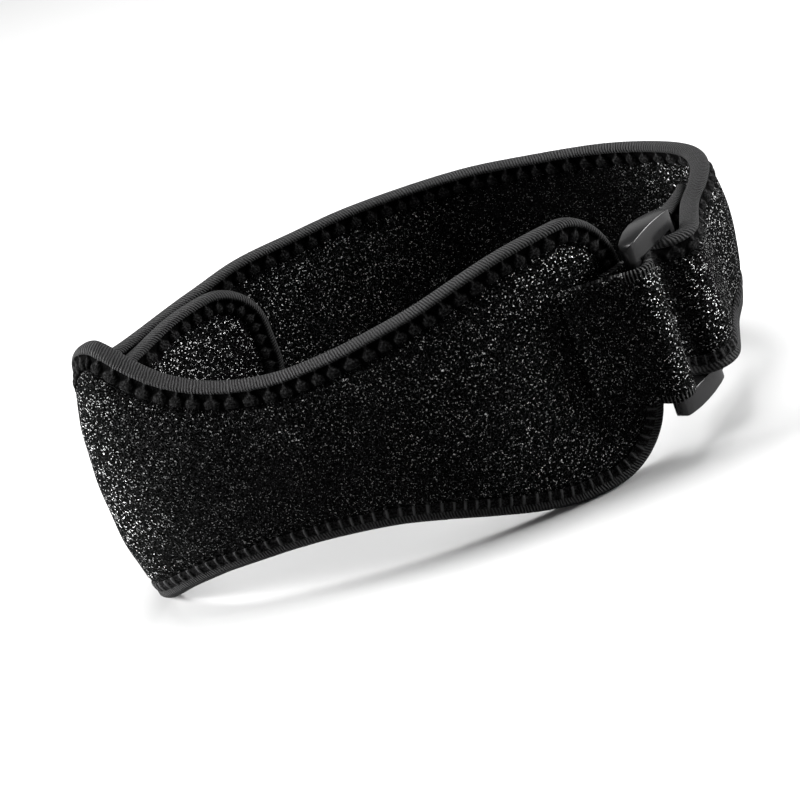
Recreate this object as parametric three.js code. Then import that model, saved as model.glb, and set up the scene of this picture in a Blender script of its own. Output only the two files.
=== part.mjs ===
// A patella strap in millimetres, +Z up, its front facing -Y.
// A wide padded front panel bends round the left side and ends as a rounded tongue inside the
// back band. The back band runs round the right side, narrows to a strap and turns back through
// a two-bar buckle, which a sewn tab holds on the front panel. Both cloth walls have a tape
// folded over their whole edge.

import * as THREE from 'three';

// Sizes of the loop, between the middles of its walls
const LOOP_WIDTH = 162;
const LOOP_DEPTH = 87;

// Sizes of the cloth walls
const PANEL_HEIGHT = 74;
const BAND_HEIGHT = 61.5;
const PAD_THICKNESS = 4;
const PAD_EDGE_THICKNESS = 3;
const PANEL_BULGE = 5.9;
const PANEL_LEAN = 2.6;
const BAND_BULGE = 3.2;
const BAND_LEAN = 2.4;
const STRAP_WIDTH = 36.8;
const STRAP_RETURN = 30;
const LAP_START = 0.752;

// Sizes of the edge tape
const TAPE_THICKNESS = 0.7;
const TAPE_LEG = 3.4;

// Sizes of the rounded ends, along the wall and up it
const PANEL_TOP_CORNER = { along: 13, up: 18 };
const PANEL_LOW_CORNER = { along: 22, up: 22 };
const TONGUE_END_LENGTH = 13.5;
const TONGUE_DROP = 13.6;
const BAND_CORNER = { along: 5, up: 5 };

// Sizes of the buckle and the tab that holds it
const BUCKLE_WIDTH = 21;
const BUCKLE_THICKNESS = 4.6;
const BUCKLE_BAR = 3.2;
const BUCKLE_END_BAR = 4.4;
const BUCKLE_ARCH = 1;
const BUCKLE_BACK_SWELL = 1.6;
const BUCKLE_CORNER = 1.5;
const BUCKLE_EDGE_ROUND = 0.7;
const BUCKLE_TURN = 48;
const BUCKLE_BACKSET = 2;
const TAB_THICKNESS = 2.4;
const TAB_LENGTH = 19;
const TAB_TUCK = 9;

// Directions from a bar, in degrees, at which the cloth meets it and how far it goes round
const STRAP_ARRIVES = -14;
const STRAP_SWEEP = 182;
const TAB_ARRIVES = -98;
const TAB_SWEEP = 217;

// Clearance between pieces that touch, and the slack of the strap in the slot
const GAP = 0.3;

// Where the edge tape's outside lies from the cloth's edge and from its middle
const TAPE_RIM = GAP + TAPE_THICKNESS;
const TAPED_HALF = PAD_EDGE_THICKNESS / 2 + TAPE_RIM;
const LAYER_STEP = 2 * TAPED_HALF + GAP;
const BAR_REACH = Math.hypot(BUCKLE_BAR / 2 - BUCKLE_EDGE_ROUND, BUCKLE_THICKNESS / 2 - BUCKLE_EDGE_ROUND)
  + BUCKLE_EDGE_ROUND;
const BUCKLE_RISE = 0.466 * PANEL_HEIGHT;
const SLOT_LENGTH = STRAP_WIDTH + 2 * GAP;

// Plan of the front panel, right end to left bend, in shares of half the loop
const FRONT_PLAN = [
  { x: 0.648, y: -0.786 },
  { x: 0.574, y: -0.864 },
  { x: 0.475, y: -0.929 },
  { x: 0.327, y: -0.979 },
  { x: 0.154, y: -0.998 },
  { x: -0.019, y: -0.984 },
  { x: -0.265, y: -0.920 },
  { x: -0.512, y: -0.805 },
  { x: -0.710, y: -0.655 },
  { x: -0.850, y: -0.471 },
  { x: -0.941, y: -0.276 },
  { x: -0.968, y: -0.069 },
];

// Plan of the tongue, left bend to its tip, in the same shares
const TONGUE_PLAN = [
  { x: -0.944, y: 0.161 },
  { x: -0.873, y: 0.368 },
  { x: -0.735, y: 0.563 },
  { x: -0.574, y: 0.701 },
  { x: -0.404, y: 0.785 },
];

// Plan of the back band past the tongue, to just before the buckle, in the same shares
const BACK_PLAN = [
  { x: -0.019, y: 1.0 },
  { x: 0.290, y: 0.989 },
  { x: 0.599, y: 0.874 },
  { x: 0.796, y: 0.736 },
  { x: 0.920, y: 0.552 },
  { x: 0.994, y: 0.322 },
  { x: 1.006, y: 0.092 },
  { x: 0.978, y: -0.138 },
  { x: 0.932, y: -0.345 },
];

// Edges of the front panel: at is a share of its length, low and high are shares of its height,
// bulge is a share of its bulge and of its lean. The corners are rounded afterwards.
const PANEL_ROWS = [
  { at: 0, low: -0.004, high: 0.93, bulge: 0 },
  { at: 0.08, low: -0.006, high: 0.93, bulge: 0.04 },
  { at: 0.12, low: -0.004, high: 0.922, bulge: 0.12 },
  { at: 0.15, low: 0.006, high: 0.909, bulge: 0.21 },
  { at: 0.193, low: 0.035, high: 0.881, bulge: 0.34 },
  { at: 0.24, low: 0.076, high: 0.846, bulge: 0.43 },
  { at: 0.29, low: 0.118, high: 0.817, bulge: 0.48 },
  { at: 0.345, low: 0.153, high: 0.789, bulge: 0.52 },
  { at: 0.41, low: 0.168, high: 0.77, bulge: 0.57 },
  { at: 0.46, low: 0.165, high: 0.778, bulge: 0.62 },
  { at: 0.506, low: 0.151, high: 0.806, bulge: 0.7 },
  { at: 0.547, low: 0.131, high: 0.852, bulge: 0.8 },
  { at: 0.58, low: 0.104, high: 0.907, bulge: 0.9 },
  { at: 0.61, low: 0.074, high: 0.965, bulge: 0.98 },
  { at: 0.632, low: 0.046, high: 0.988, bulge: 1 },
  { at: 0.66, low: 0.012, high: 0.965, bulge: 1 },
  { at: 0.69, low: -0.006, high: 0.888, bulge: 0.85 },
  { at: 0.73, low: -0.004, high: 0.79, bulge: 0.3 },
  { at: 0.77, low: 0.05, high: 0.738, bulge: 0.05 },
  { at: 0.82, low: 0.13, high: 0.733, bulge: 0 },
  { at: 0.886, low: 0.23, high: 0.768, bulge: 0 },
  { at: 0.93, low: 0.278, high: 0.778, bulge: 0 },
  { at: 1, low: 0.285, high: 0.778, bulge: 0 },
];

// Edges of the back band: at is a share of its length up to the buckle, low and high are shares
// of its height, bulge and lean are shares of its bulge and its lean.
const BAND_ROWS = [
  { at: 0, low: 0.24, high: 0.93, bulge: 0, lean: 0 },
  { at: 0.05, low: 0.23, high: 0.912, bulge: 0.05, lean: 0 },
  { at: 0.105, low: 0.2, high: 0.909, bulge: 0.1, lean: 0 },
  { at: 0.187, low: 0.14, high: 0.946, bulge: 0.25, lean: 0 },
  { at: 0.25, low: 0.08, high: 0.984, bulge: 0.4, lean: 0 },
  { at: 0.32, low: 0.02, high: 0.993, bulge: 0.5, lean: 0 },
  { at: 0.38, low: -0.01, high: 1, bulge: 0.55, lean: 0 },
  { at: 0.46, low: -0.01, high: 0.993, bulge: 0.6, lean: 0 },
  { at: 0.536, low: 0.035, high: 0.98, bulge: 0.65, lean: 0 },
  { at: 0.6, low: 0.1, high: 0.954, bulge: 0.7, lean: 0.1 },
  { at: 0.668, low: 0.175, high: 0.926, bulge: 0.8, lean: 0.4 },
  { at: 0.74, low: 0.24, high: 0.898, bulge: 1, lean: 0.8 },
  { at: 0.81, low: 0.28, high: 0.89, bulge: 1, lean: 1 },
  { at: 0.87, low: 0.286, high: 0.884, bulge: 0.75, lean: 0.7 },
];

// Edges of the tab: at is a share of its length from the seam to the bar, low and high are
// shares of half the strap's width below and above the slot's middle.
const TAB_ROWS = [
  { at: 0, low: -0.6, high: 1.02 },
  { at: 0.35, low: -0.74, high: 1 },
  { at: 0.7, low: -0.87, high: 0.99 },
  { at: 1, low: -0.97, high: 0.98 },
];

// Steps of the meshes
const PLAN_STEPS = 24;
const WALL_STEP = 6.2;
const BEND_STEP = 4;
const CORNER_STEPS = 5;
const FACE_LEVELS = [0.25, 0.5, 0.75];
const ROLL_STEPS = 10;
const END_STEPS = 7;

// A smooth value between the rows of a table
function smooth(rows, key, at) {
  let i = 0;
  while (i < rows.length - 2 && at > rows[i + 1].at) i += 1;
  const slope = (k) => {
    const a = rows[Math.max(k - 1, 0)];
    const b = rows[Math.min(k + 1, rows.length - 1)];
    return (b[key] - a[key]) / (b.at - a.at);
  };
  const run = rows[i + 1].at - rows[i].at;
  const t = THREE.MathUtils.clamp((at - rows[i].at) / run, 0, 1);
  const ease = t * t * (3 - 2 * t);
  const lead = t * (1 - t) * (1 - t) * run * slope(i);
  const tail = t * t * (t - 1) * run * slope(i + 1);
  return rows[i][key] * (1 - ease) + rows[i + 1][key] * ease + lead + tail;
}

// A plan line through points, which gives the place and the outward normal at a length
function planLine(points) {
  const curve = new THREE.CatmullRomCurve3(points, false, 'centripetal');
  const dense = curve.getPoints(PLAN_STEPS * (points.length - 1));
  const run = [0];
  for (let i = 1; i < dense.length; i += 1) {
    run.push(run[i - 1] + dense[i].distanceTo(dense[i - 1]));
  }
  const normalAt = (i) => {
    const a = dense[Math.max(i - 1, 0)];
    const b = dense[Math.min(i + 1, dense.length - 1)];
    return new THREE.Vector3(a.y - b.y, b.x - a.x, 0).normalize();
  };
  const place = (s) => {
    let i = 0;
    while (i < run.length - 2 && s > run[i + 1]) i += 1;
    const t = (s - run[i]) / (run[i + 1] - run[i]);
    const turn = THREE.MathUtils.clamp(t, 0, 1);
    return {
      point: dense[i].clone().lerp(dense[i + 1], t),
      out: normalAt(i).lerp(normalAt(i + 1), turn).normalize(),
    };
  };
  return { length: run[run.length - 1], place };
}

// A point moved outwards from a plan line
function offset(line, s, out) {
  const spot = line.place(s);
  return spot.point.addScaledVector(spot.out, out);
}

// The drop of a rounded corner at a distance from the wall's end
function cornerDrop(corner, distance) {
  const t = 1 - THREE.MathUtils.clamp(distance / corner.along, 0, 1);
  return corner.up * (1 - Math.sqrt(1 - t * t));
}

// Lengths at which a wall is cut into columns, closer together in its rounded ends and its bends
function wallStations(length, startRound, endRound, bends) {
  const stations = [];
  for (let i = 0; i < CORNER_STEPS; i += 1) {
    stations.push(startRound * (1 - Math.cos((i / CORNER_STEPS) * Math.PI / 2)));
  }
  const steps = Math.round((length - startRound - endRound) / WALL_STEP);
  for (let i = 0; i <= steps; i += 1) {
    stations.push(startRound + (i / steps) * (length - startRound - endRound));
  }
  for (let i = CORNER_STEPS - 1; i >= 0; i -= 1) {
    stations.push(length - endRound * (1 - Math.cos((i / CORNER_STEPS) * Math.PI / 2)));
  }
  return bends.reduce((kept, { from, to, step }) => {
    const margin = step / 2;
    const outside = kept.filter((s) => s < from - margin || s > to + margin);
    const count = Math.round((to - from) / step);
    for (let i = 0; i <= count; i += 1) outside.push(from + (i / count) * (to - from));
    return outside.sort((a, b) => a - b);
  }, stations);
}

// The outside edge of a wall, laid flat, with its outward direction at each point
function flatEdge(wall) {
  const low = wall.stations.map((s) => new THREE.Vector2(s, wall.low(s)));
  const high = wall.stations.map((s) => new THREE.Vector2(s, wall.high(s)));
  const edge = [...low, ...high.reverse()];
  return edge.map((point, i) => {
    const before = edge[(i + edge.length - 1) % edge.length];
    const after = edge[(i + 1) % edge.length];
    const along = after.clone().sub(before).normalize();
    return { point, out: new THREE.Vector2(along.y, -along.x) };
  });
}

// The distance from a flat place to the nearest side of an outline
function distanceInside(outline, flat) {
  const place = new THREE.Vector3(flat.x, flat.y, 0);
  const distances = outline.map((corner, i) => {
    const next = outline[(i + 1) % outline.length];
    const side = new THREE.Line3(new THREE.Vector3(corner.x, corner.y, 0), new THREE.Vector3(next.x, next.y, 0));
    return side.closestPointToPoint(place, true, new THREE.Vector3()).distanceTo(place);
  });
  return Math.min(...distances);
}

// A flat place on a wall, bent round its plan line with the wall's bulge and lean
function bend(wall, flat, out) {
  const low = wall.low(flat.x);
  const share = (flat.y - low) / Math.max(wall.high(flat.x) - low, TAPE_LEG);
  const bulge = wall.bulge(flat.x) * 4 * share * (1 - share);
  const lean = wall.lean(flat.x) * (0.5 - share);
  const place = offset(wall.line, flat.x, out + bulge + lean);
  place.z = flat.y;
  return place;
}

// A geometry from points and the corners of its triangles
function solid(points, faces) {
  const geometry = new THREE.BufferGeometry();
  geometry.setAttribute('position', new THREE.Float32BufferAttribute(points.flatMap((p) => p.toArray()), 3));
  geometry.setIndex(faces);
  geometry.computeVertexNormals();
  return geometry;
}

// Triangles of a tube whose sections run round a closed outline
function tubeFaces(sections, count) {
  const faces = [];
  for (let i = 0; i < sections; i += 1) {
    const here = i * count;
    const next = ((i + 1) % sections) * count;
    for (let k = 0; k < count; k += 1) {
      const up = (k + 1) % count;
      faces.push(here + k, next + up, here + up, here + k, next + k, next + up);
    }
  }
  return faces;
}

// A closed sheet: columns of points up its outer and its inner face, joined round their edges
function sheet(columns, levels, place) {
  const points = [];
  for (const side of [1, -1]) {
    for (let i = 0; i < columns; i += 1) {
      for (let k = 0; k < levels; k += 1) points.push(place(i, k, side));
    }
  }
  const at = (i, k, side) => (side > 0 ? 0 : columns * levels) + i * levels + k;
  const faces = [];
  const quad = (a, b, c, d) => faces.push(a, b, c, a, c, d);
  for (let i = 0; i < columns - 1; i += 1) {
    for (let k = 0; k < levels - 1; k += 1) {
      quad(at(i, k, 1), at(i, k + 1, 1), at(i + 1, k + 1, 1), at(i + 1, k, 1));
      quad(at(i, k, -1), at(i + 1, k, -1), at(i + 1, k + 1, -1), at(i, k + 1, -1));
    }
    const top = levels - 1;
    quad(at(i, 0, 1), at(i + 1, 0, 1), at(i + 1, 0, -1), at(i, 0, -1));
    quad(at(i, top, 1), at(i, top, -1), at(i + 1, top, -1), at(i + 1, top, 1));
  }
  for (let k = 0; k < levels - 1; k += 1) {
    const end = columns - 1;
    quad(at(0, k, 1), at(0, k, -1), at(0, k + 1, -1), at(0, k + 1, 1));
    quad(at(end, k, 1), at(end, k + 1, 1), at(end, k + 1, -1), at(end, k, -1));
  }
  return solid(points, faces);
}

// A padded wall: thin under the tape, thick between, bent round its plan line
function paddedWall(wall) {
  const edge = flatEdge(wall).map(({ point, out }) => point.clone().addScaledVector(out, -TAPE_RIM));
  const columns = wall.stations.length;
  const rims = [0, TAPE_LEG, TAPE_LEG + PAD_THICKNESS / 2];
  const place = (i, k, side) => {
    const low = edge[i];
    const high = edge[edge.length - 1 - i];
    const height = low.distanceTo(high);
    const squeeze = Math.min(1 / height, 1 / (3 * rims[2]));
    const near = rims.map((rim) => rim * squeeze);
    const middle = FACE_LEVELS.map((level) => THREE.MathUtils.lerp(near[2], 1 - near[2], level));
    const far = near.map((rim) => 1 - rim).reverse();
    const flat = low.clone().lerp(high, [...near, ...middle, ...far][k]);
    const reach = distanceInside(edge, flat);
    const fill = THREE.MathUtils.smoothstep(reach, TAPE_LEG, TAPE_LEG + PAD_THICKNESS / 2);
    return bend(wall, flat, side * THREE.MathUtils.lerp(PAD_EDGE_THICKNESS, PAD_THICKNESS, fill) / 2);
  };
  return sheet(columns, rims.length * 2 + FACE_LEVELS.length, place);
}

// The tape's section: across the edge (out) and through the wall (side)
function tapeSection() {
  const face = PAD_EDGE_THICKNESS / 2 + GAP;
  const back = face + TAPE_THICKNESS;
  const leg = TAPE_LEG;
  return [
    { out: -leg, side: face },
    { out: -leg, side: back },
    { out: -TAPE_RIM, side: back },
    { out: 0, side: face },
    { out: 0, side: -face },
    { out: -TAPE_RIM, side: -back },
    { out: -leg, side: -back },
    { out: -leg, side: -face },
    { out: -TAPE_THICKNESS, side: -face },
    { out: -TAPE_THICKNESS, side: face },
  ];
}

// The tape folded over the whole edge of a wall
function edgeTape(wall) {
  const edge = flatEdge(wall);
  const section = tapeSection();
  const points = edge.flatMap(({ point, out }) => section.map((corner) => (
    bend(wall, point.clone().addScaledVector(out, corner.out), corner.side)
  )));
  return solid(points, tubeFaces(edge.length, section.length));
}

// A point of the plan from its shares of half the loop
function planPoint(row) {
  return new THREE.Vector3(row.x * LOOP_WIDTH / 2, row.y * LOOP_DEPTH / 2, 0);
}

// The front panel and its tongue as one wall
function panelWall() {
  const line = planLine([...FRONT_PLAN, ...TONGUE_PLAN].map(planPoint));
  const tongueEnd = { along: TONGUE_END_LENGTH, up: TONGUE_DROP };
  const low = (s) => {
    const edge = Math.max(0, smooth(PANEL_ROWS, 'low', s / line.length) * PANEL_HEIGHT);
    return edge + cornerDrop(PANEL_LOW_CORNER, s) + cornerDrop(tongueEnd, line.length - s);
  };
  const high = (s) => {
    const edge = smooth(PANEL_ROWS, 'high', s / line.length) * PANEL_HEIGHT;
    return edge - cornerDrop(PANEL_TOP_CORNER, s) - cornerDrop(tongueEnd, line.length - s);
  };
  const bulge = (s) => smooth(PANEL_ROWS, 'bulge', s / line.length) * PANEL_BULGE;
  const lean = (s) => smooth(PANEL_ROWS, 'bulge', s / line.length) * PANEL_LEAN;
  const bends = [{ from: 0.56 * line.length, to: 0.82 * line.length, step: BEND_STEP }];
  const stations = wallStations(line.length, PANEL_LOW_CORNER.along, TONGUE_END_LENGTH, bends);
  return { line, low, high, bulge, lean, stations };
}

// The buckle's frame: the middle of its slot, its width direction and its outward direction
function buckleFrame(panel) {
  const turn = THREE.MathUtils.degToRad(BUCKLE_TURN);
  const across = new THREE.Vector3(Math.cos(turn), Math.sin(turn), 0);
  const out = new THREE.Vector3(Math.sin(turn), -Math.cos(turn), 0);
  const lift = TAPED_HALF + GAP + TAB_THICKNESS + GAP + BUCKLE_THICKNESS / 2;
  const leftBar = offset(panel.line, BUCKLE_BACKSET, lift);
  const reach = (BUCKLE_WIDTH - BUCKLE_BAR) / 2;
  const middle = leftBar.clone().addScaledVector(across, reach);
  const rightBar = middle.clone().addScaledVector(across, reach);
  return { middle, leftBar, rightBar, across, out };
}

// Points round a bar, from one direction to another, in degrees
function roundBar(bar, radius, from, to) {
  const points = [];
  for (let i = 0; i <= ROLL_STEPS; i += 1) {
    const angle = THREE.MathUtils.degToRad(from + (i / ROLL_STEPS) * (to - from));
    points.push(new THREE.Vector3(bar.x + radius * Math.cos(angle), bar.y + radius * Math.sin(angle), 0));
  }
  return points;
}

// The back band and its strap as one wall
function bandWall(panel, buckle) {
  const lapStart = panel.line.length * LAP_START;
  const lap = [];
  for (let i = 0; i <= 6; i += 1) {
    const s = lapStart + (i / 6) * (panel.line.length - lapStart);
    lap.push(offset(panel.line, s, LAYER_STEP + panel.bulge(s) + panel.lean(s) / 2));
  }
  const outer = [...lap, ...BACK_PLAN.map(planPoint)];
  const radius = BAR_REACH + GAP + TAPED_HALF;
  const roll = roundBar(buckle.rightBar, radius, STRAP_ARRIVES, STRAP_ARRIVES - STRAP_SWEEP);
  const toBar = planLine([...outer, ...roll.slice(0, 1)]);
  const back = [0.62, 1].map((share) => offset(toBar, toBar.length - STRAP_RETURN * share, -LAYER_STEP));
  const line = planLine([...outer, ...roll, ...back]);
  const rollLength = radius * THREE.MathUtils.degToRad(STRAP_SWEEP);
  const strap = { low: BUCKLE_RISE - STRAP_WIDTH / 2, high: BUCKLE_RISE + STRAP_WIDTH / 2, bulge: 0, lean: 0 };
  const rows = BAND_ROWS.map((row) => ({
    at: row.at * toBar.length,
    low: row.low * BAND_HEIGHT,
    high: row.high * BAND_HEIGHT,
    bulge: row.bulge * BAND_BULGE,
    lean: -row.lean * BAND_LEAN,
  }));
  rows.push({ at: toBar.length * 0.955, ...strap }, { at: line.length, ...strap });
  const ends = (s) => cornerDrop(BAND_CORNER, s) + cornerDrop(BAND_CORNER, line.length - s);
  const low = (s) => Math.max(0, smooth(rows, 'low', s)) + ends(s);
  const high = (s) => smooth(rows, 'high', s) - ends(s);
  const bulge = (s) => smooth(rows, 'bulge', s);
  const lean = (s) => smooth(rows, 'lean', s);
  const bends = [
    { from: toBar.length * 0.72, to: toBar.length, step: BEND_STEP },
    { from: toBar.length, to: toBar.length + rollLength, step: rollLength / ROLL_STEPS },
  ];
  const stations = wallStations(line.length, BAND_CORNER.along, BAND_CORNER.along, bends);
  return { line, low, high, bulge, lean, stations };
}

// The tab: out from the seam, round the left bar and back under itself
function buckleTab(panel, buckle) {
  const half = TAB_THICKNESS / 2;
  const onPad = PAD_THICKNESS / 2 + GAP + half;
  const onTape = TAPED_HALF + GAP + half;
  const overTuck = onTape + TAB_THICKNESS + GAP;
  const radius = BAR_REACH + GAP + half;
  const front = [
    offset(panel.line, TAB_LENGTH, onPad),
    offset(panel.line, (TAB_LENGTH + TAB_TUCK) / 2 + 1, onPad + GAP),
    offset(panel.line, TAB_TUCK, overTuck),
  ];
  const roll = roundBar(buckle.leftBar, radius, TAB_ARRIVES, TAB_ARRIVES + TAB_SWEEP);
  const back = [offset(panel.line, TAB_TUCK / 2, onTape), offset(panel.line, TAB_TUCK - 1, onTape)];
  const line = planLine([...front, ...roll, ...back]);
  const barAt = TAB_LENGTH;
  const level = (key, s) => (
    BUCKLE_RISE + smooth(TAB_ROWS, key, Math.min(s / barAt, 1)) * STRAP_WIDTH / 2
  );
  const columns = 34;
  const round = [0, 0.5, 1, 1, 0.5, 0].map((share) => half * (0.55 + 0.45 * share));
  const inset = [0, half * 0.5, 2 * half, 2 * half, half * 0.5, 0];
  const place = (i, k, side) => {
    const s = (i / (columns - 1)) * line.length;
    const low = level('low', s);
    const high = level('high', s);
    const place = offset(line, s, side * round[k]);
    place.z = k < 3 ? low + inset[k] : high - inset[k];
    return place;
  };
  return sheet(columns, round.length, place);
}

// The slot's outline in the buckle's plane, with its outward direction at each point
function slotOutline() {
  const width = BUCKLE_WIDTH - 2 * BUCKLE_BAR;
  const shape = new THREE.Shape();
  const x = width / 2 - BUCKLE_CORNER;
  const y = SLOT_LENGTH / 2 - BUCKLE_CORNER;
  const turn = Math.PI / 2;
  shape.absarc(x, y, BUCKLE_CORNER, 0, turn);
  for (let i = 1; i < END_STEPS; i += 1) shape.lineTo(x - (i / END_STEPS) * 2 * x, y + BUCKLE_CORNER);
  shape.absarc(-x, y, BUCKLE_CORNER, turn, 2 * turn);
  shape.absarc(-x, -y, BUCKLE_CORNER, 2 * turn, 3 * turn);
  for (let i = 1; i < END_STEPS; i += 1) shape.lineTo((i / END_STEPS) * 2 * x - x, -y - BUCKLE_CORNER);
  shape.absarc(x, -y, BUCKLE_CORNER, 3 * turn, 4 * turn);
  const outline = shape.getPoints(4).slice(0, -1);
  return outline.map((point, i) => {
    const before = outline[(i + outline.length - 1) % outline.length];
    const after = outline[(i + 1) % outline.length];
    const along = after.clone().sub(before).normalize();
    return { point, out: new THREE.Vector2(along.y, -along.x) };
  });
}

// The two-bar ring: its section runs round the slot, taller and swollen at the back on the ends
function buckleRing() {
  const outline = slotOutline();
  const round = BUCKLE_EDGE_ROUND;
  const front = BUCKLE_THICKNESS / 2;
  const points = outline.flatMap(({ point, out }) => {
    const share = 1 - (2 * point.x / BUCKLE_WIDTH) ** 2;
    const end = out.y ** 2;
    const reach = THREE.MathUtils.lerp(BUCKLE_BAR, BUCKLE_END_BAR + BUCKLE_ARCH * share, end);
    const back = -front - BUCKLE_BACK_SWELL * share * end;
    const section = [
      [round, front], [0, front - round], [0, back + round], [round, back],
      [reach - round, back], [reach, back + round], [reach, front - round], [reach - round, front],
    ];
    return section.map(([away, depth]) => {
      const place = point.clone().addScaledVector(out, away);
      return new THREE.Vector3(place.x, place.y, depth);
    });
  });
  return solid(points, tubeFaces(outline.length, 8));
}

// A named mesh with its own finish
function piece(name, geometry, color, roughness) {
  const material = new THREE.MeshStandardMaterial({ color, roughness, metalness: 0 });
  const mesh = new THREE.Mesh(geometry, material);
  mesh.name = name;
  return mesh;
}

const panel = panelWall();
const buckle = buckleFrame(panel);
const band = bandWall(panel, buckle);

const ring = piece('buckle', buckleRing(), 0x101010, 0.35);
const upright = new THREE.Vector3(0, 0, 1);
ring.quaternion.setFromRotationMatrix(new THREE.Matrix4().makeBasis(buckle.across, upright, buckle.out));
ring.position.copy(buckle.middle).setZ(BUCKLE_RISE);

const strap = new THREE.Group();
strap.add(
  piece('front_panel', paddedWall(panel), 0x0c0c0d, 0.95),
  piece('front_panel_binding', edgeTape(panel), 0x2c2c2e, 0.6),
  piece('back_band', paddedWall(band), 0x0e0e0f, 0.95),
  piece('back_band_binding', edgeTape(band), 0x2c2c2e, 0.6),
  piece('buckle_tab', buckleTab(panel, buckle), 0x111112, 0.9),
  ring,
);

// The origin is under the middle of the strap, where it stands
const box = new THREE.Box3().setFromObject(strap, true);
const middle = box.getCenter(new THREE.Vector3());
strap.position.set(-middle.x, -middle.y, -box.min.z);

export default strap;
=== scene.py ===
import math

import bmesh
import bpy
import numpy as np
from mathutils import Matrix, Vector


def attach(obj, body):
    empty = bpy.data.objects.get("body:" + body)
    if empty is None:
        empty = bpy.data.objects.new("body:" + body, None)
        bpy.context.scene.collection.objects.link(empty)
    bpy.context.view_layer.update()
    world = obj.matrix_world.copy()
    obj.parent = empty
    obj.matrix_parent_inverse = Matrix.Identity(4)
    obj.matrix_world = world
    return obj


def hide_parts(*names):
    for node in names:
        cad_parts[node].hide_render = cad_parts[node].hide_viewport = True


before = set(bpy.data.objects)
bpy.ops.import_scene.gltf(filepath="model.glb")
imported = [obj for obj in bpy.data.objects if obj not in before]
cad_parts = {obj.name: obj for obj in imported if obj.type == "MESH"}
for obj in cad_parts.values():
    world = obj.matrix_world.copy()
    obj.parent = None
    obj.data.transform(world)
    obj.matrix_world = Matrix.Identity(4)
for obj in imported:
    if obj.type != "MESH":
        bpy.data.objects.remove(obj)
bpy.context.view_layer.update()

MM = 0.001

# Where the middle of the plan lies in the frame, in mm
PLAN_MIDDLE = (-0.676, 0.018)


# Camera

CAMERA_HEIGHT = 22.0
CAMERA_ROLL = 20.92
CAMERA_DISTANCE = 0.8
CAMERA_AIM = (-0.00218, -0.00098, 0.033)
CAMERA_LENS = 144
FRAME_PIXELS = 800
AIM_PIXEL = (412.15, 360.9)


def add_camera():
    """The camera looks at the front from above, turned about its own line of sight."""
    height, roll = math.radians(CAMERA_HEIGHT), math.radians(CAMERA_ROLL)
    level = Vector((1, 0, 0))
    upward = Vector((0, math.sin(height), math.cos(height)))
    back = Vector((0, -math.cos(height), math.sin(height)))
    right = level * math.cos(roll) - upward * math.sin(roll)
    up = level * math.sin(roll) + upward * math.cos(roll)
    data = bpy.data.cameras.new("camera")
    data.sensor_width = 36
    data.lens = CAMERA_LENS
    data.shift_x = (FRAME_PIXELS / 2 - AIM_PIXEL[0]) / FRAME_PIXELS
    data.shift_y = (AIM_PIXEL[1] - FRAME_PIXELS / 2) / FRAME_PIXELS
    data.clip_start = 0.01
    camera = bpy.data.objects.new("camera", data)
    bpy.context.scene.collection.objects.link(camera)
    turn = Matrix((right, up, back)).transposed().to_4x4()
    camera.matrix_world = Matrix.Translation(Vector(CAMERA_AIM) + back * CAMERA_DISTANCE) @ turn
    bpy.context.scene.camera = camera


add_camera()


# Sizes of the strap, in mm

LOOP_WIDTH = 162
LOOP_DEPTH = 87
PANEL_HEIGHT = 74
BAND_HEIGHT = 61.5
PAD_THICKNESS = 4
PAD_EDGE_THICKNESS = 3
PANEL_BULGE = 5.9
PANEL_LEAN = 2.6
BAND_BULGE = 3.2
BAND_LEAN = 2.4
STRAP_WIDTH = 36.8
STRAP_RETURN = 30
LAP_START = 0.752
TAPE_THICKNESS = 0.7
TAPE_LEG = 3.4
PANEL_TOP_CORNER = (13, 18)
PANEL_LOW_CORNER = (22, 22)
TONGUE_END = (13.5, 13.6)
BAND_CORNER = (5, 5)
BUCKLE_WIDTH = 21
BUCKLE_THICKNESS = 4.6
BUCKLE_BAR = 3.2
BUCKLE_END_BAR = 4.4
BUCKLE_ARCH = 1
BUCKLE_BACK_SWELL = 1.6
BUCKLE_TIP_TAPER = 1.8
BUCKLE_BOW = 0.6
BUCKLE_OUTER_CORNER = 1.6
BUCKLE_EDGE_ROUND = 0.7
BUCKLE_TURN = 48
BUCKLE_BACKSET = 2
TAB_THICKNESS = 2.4
TAB_LENGTH = 19
TAB_TUCK = 9
STRAP_ARRIVES = -14
STRAP_SWEEP = 182
TAB_ARRIVES = -98
TAB_SWEEP = 217
STITCH_PITCH = 4.2
PANEL_PLEATS = 2.9
BAND_PLEATS = 1.7
RETURN_THINNING = 0.65
GAP = 0.3
TAPE_RIM = GAP + TAPE_THICKNESS
TAPED_HALF = PAD_EDGE_THICKNESS / 2 + TAPE_RIM
LAYER_STEP = 2 * TAPED_HALF + GAP
BAR_REACH = BUCKLE_EDGE_ROUND + math.hypot(
    BUCKLE_BAR / 2 - BUCKLE_EDGE_ROUND, BUCKLE_THICKNESS / 2 - BUCKLE_EDGE_ROUND)
BUCKLE_RISE = 0.466 * PANEL_HEIGHT
SLOT_LENGTH = STRAP_WIDTH + 2 * GAP

# Plan of the front panel, right end to left bend, in shares of half the loop
FRONT_PLAN = (
    (0.648, -0.786), (0.574, -0.864), (0.475, -0.929), (0.327, -0.979), (0.154, -0.998),
    (-0.019, -0.984), (-0.265, -0.920), (-0.512, -0.805), (-0.710, -0.655),
    (-0.850, -0.471), (-0.941, -0.276), (-0.968, -0.069),
)
# Plan of the tongue, left bend to its tip
TONGUE_PLAN = (
    (-0.944, 0.161), (-0.873, 0.368), (-0.735, 0.563), (-0.574, 0.701), (-0.404, 0.785),
)
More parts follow.
